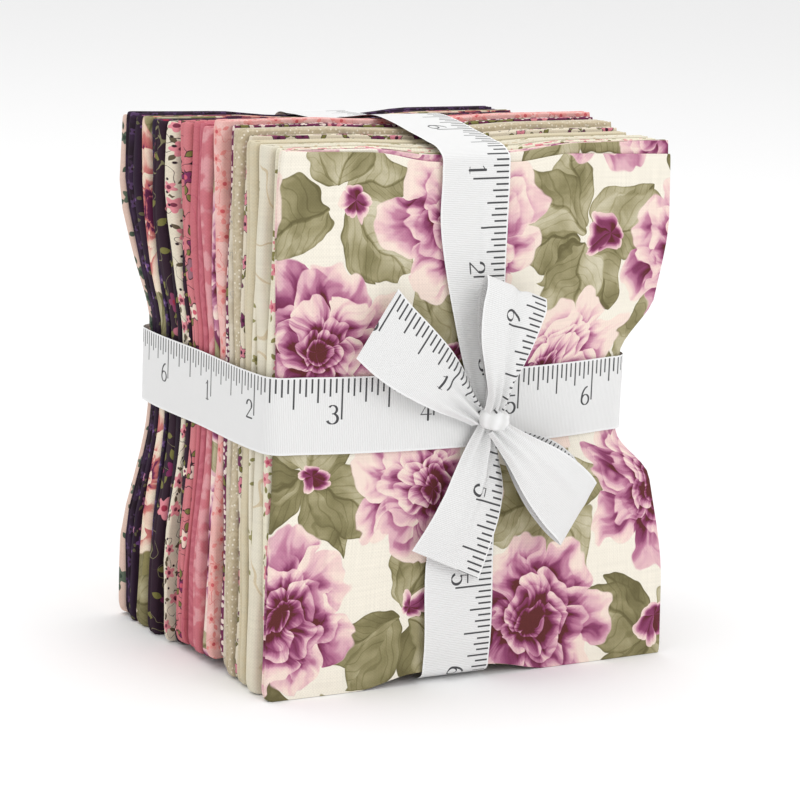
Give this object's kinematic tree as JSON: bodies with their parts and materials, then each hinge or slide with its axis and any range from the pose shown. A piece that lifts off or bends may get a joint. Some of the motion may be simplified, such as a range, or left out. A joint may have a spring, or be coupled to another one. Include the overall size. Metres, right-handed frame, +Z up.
{
  "type": "fat quarter bundle",
  "caption": "Upright bundle of folded printed cotton pieces, tied crosswise with a ruler-print ribbon and a bow.",
  "frame": {"origin": "centre of the footprint, on the surface that the bundle stands on", "axes": "+Z up along the packets' height, -Y out of the front packet towards the bow, +X to the packets' loose ends, so the round folds face -X"},
  "size_m": [0.1214, 0.1092, 0.1457],
  "materials": {
    "floral": "large flower print on fine quilting cotton, matt",
    "cream": "small print on fine quilting cotton, matt",
    "blush": "small print on fine quilting cotton, matt",
    "beige": "tone-on-tone print on fine quilting cotton, matt",
    "pink": "tonal print on fine quilting cotton, matt",
    "plum": "dark print on fine quilting cotton, matt",
    "ribbon": "ribbed woven ribbon with printed ruler marks, slight sheen"
  },
  "bodies": {
    "root": {"packet_01": "blush", "packet_02": "plum", "packet_03": "plum", "packet_04": "plum", "packet_05": "plum", "packet_06": "plum", "packet_07": "plum", "packet_08": "cream", "packet_09": "plum", "packet_10": "pink", "packet_11": "pink", "packet_12": "pink", "packet_13": "pink", "packet_14": "cream", "packet_15": "blush", "packet_16": "pink", "packet_17": "beige", "packet_18": "beige", "packet_19": "cream", "packet_20": "cream", "packet_21": "cream", "packet_22": "cream", "packet_23": "cream", "packet_24": "floral", "ribbon_waist": "ribbon", "ribbon_upright": "ribbon", "ribbon_knot": "ribbon", "ribbon_tail_upper": "ribbon", "ribbon_tail_lower": "ribbon", "ribbon_loop_upper": "ribbon", "ribbon_loop_lower": "ribbon"}
  },
  "joints": []
}
